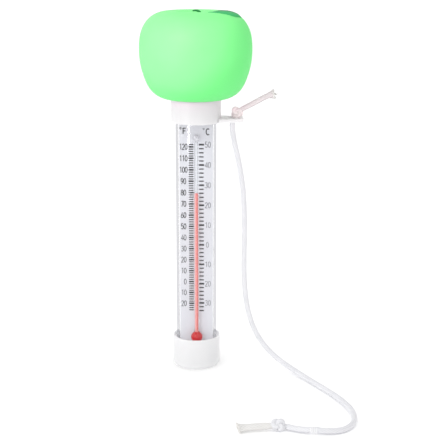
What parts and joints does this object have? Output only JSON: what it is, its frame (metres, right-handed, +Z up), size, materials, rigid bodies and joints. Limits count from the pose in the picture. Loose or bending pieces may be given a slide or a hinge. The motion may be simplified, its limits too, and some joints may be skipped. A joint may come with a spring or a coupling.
{
  "type": "floating pool thermometer",
  "caption": "Floating pool thermometer: clear weighted tube with a spirit stem and printed scale under a soft hollow float, with a tether cord on a side lug.",
  "frame": {"origin": "centre of the flat underside of the bottom cap, on the tube's axis", "axes": "+Z up the tube towards the float, +X along the lug, the scale faces -Y"},
  "size_m": [0.1131, 0.1298, 0.1988],
  "materials": {
    "white_plastic": "smooth satin moulded plastic",
    "clear_plastic": "clear polished extruded tube",
    "soft_green": "matte soft-touch vinyl",
    "leaf_green": "matte soft-touch vinyl, darker green",
    "scale_white": "white plastic sheet with dark printed graduations",
    "stem_glass": "clear drawn glass",
    "red_spirit": "dyed red spirit",
    "steel": "plain turned steel",
    "black_rubber": "matte sealing rubber",
    "foam": "soft white foam",
    "silicone": "milky cured silicone",
    "cord_white": "white braided nylon cord"
  },
  "bodies": {
    "thermometer": {"bottom_cap": "white_plastic", "ballast_weight": "steel", "bottom_gasket": "black_rubber", "bottom_plug": "white_plastic", "bulb_pad": "foam", "clear_tube": "clear_plastic", "scale_plate": "scale_white", "glass_stem": "stem_glass", "spirit_bulb": "red_spirit", "spirit_column": "red_spirit", "stem_dab": "silicone", "top_pad": "foam", "top_gasket": "black_rubber", "collar": "white_plastic", "float_shell": "soft_green", "float_leaf": "leaf_green", "float_stem": "leaf_green", "cord_line": "cord_white", "stopper_knot": "cord_white", "top_tail": "cord_white", "end_knot": "cord_white", "end_tail": "cord_white", "cord_whipping": "cord_white"},
    "spirit_top": {"spirit_meniscus": "red_spirit"}
  },
  "joints": [
    {"name": "spirit_level", "type": "slide", "parent": "thermometer", "child": "spirit_top", "axis": [0, 0, 1], "range_m": [-0.06375, 0.0265], "deforming": ["spirit_column"]}
  ]
}
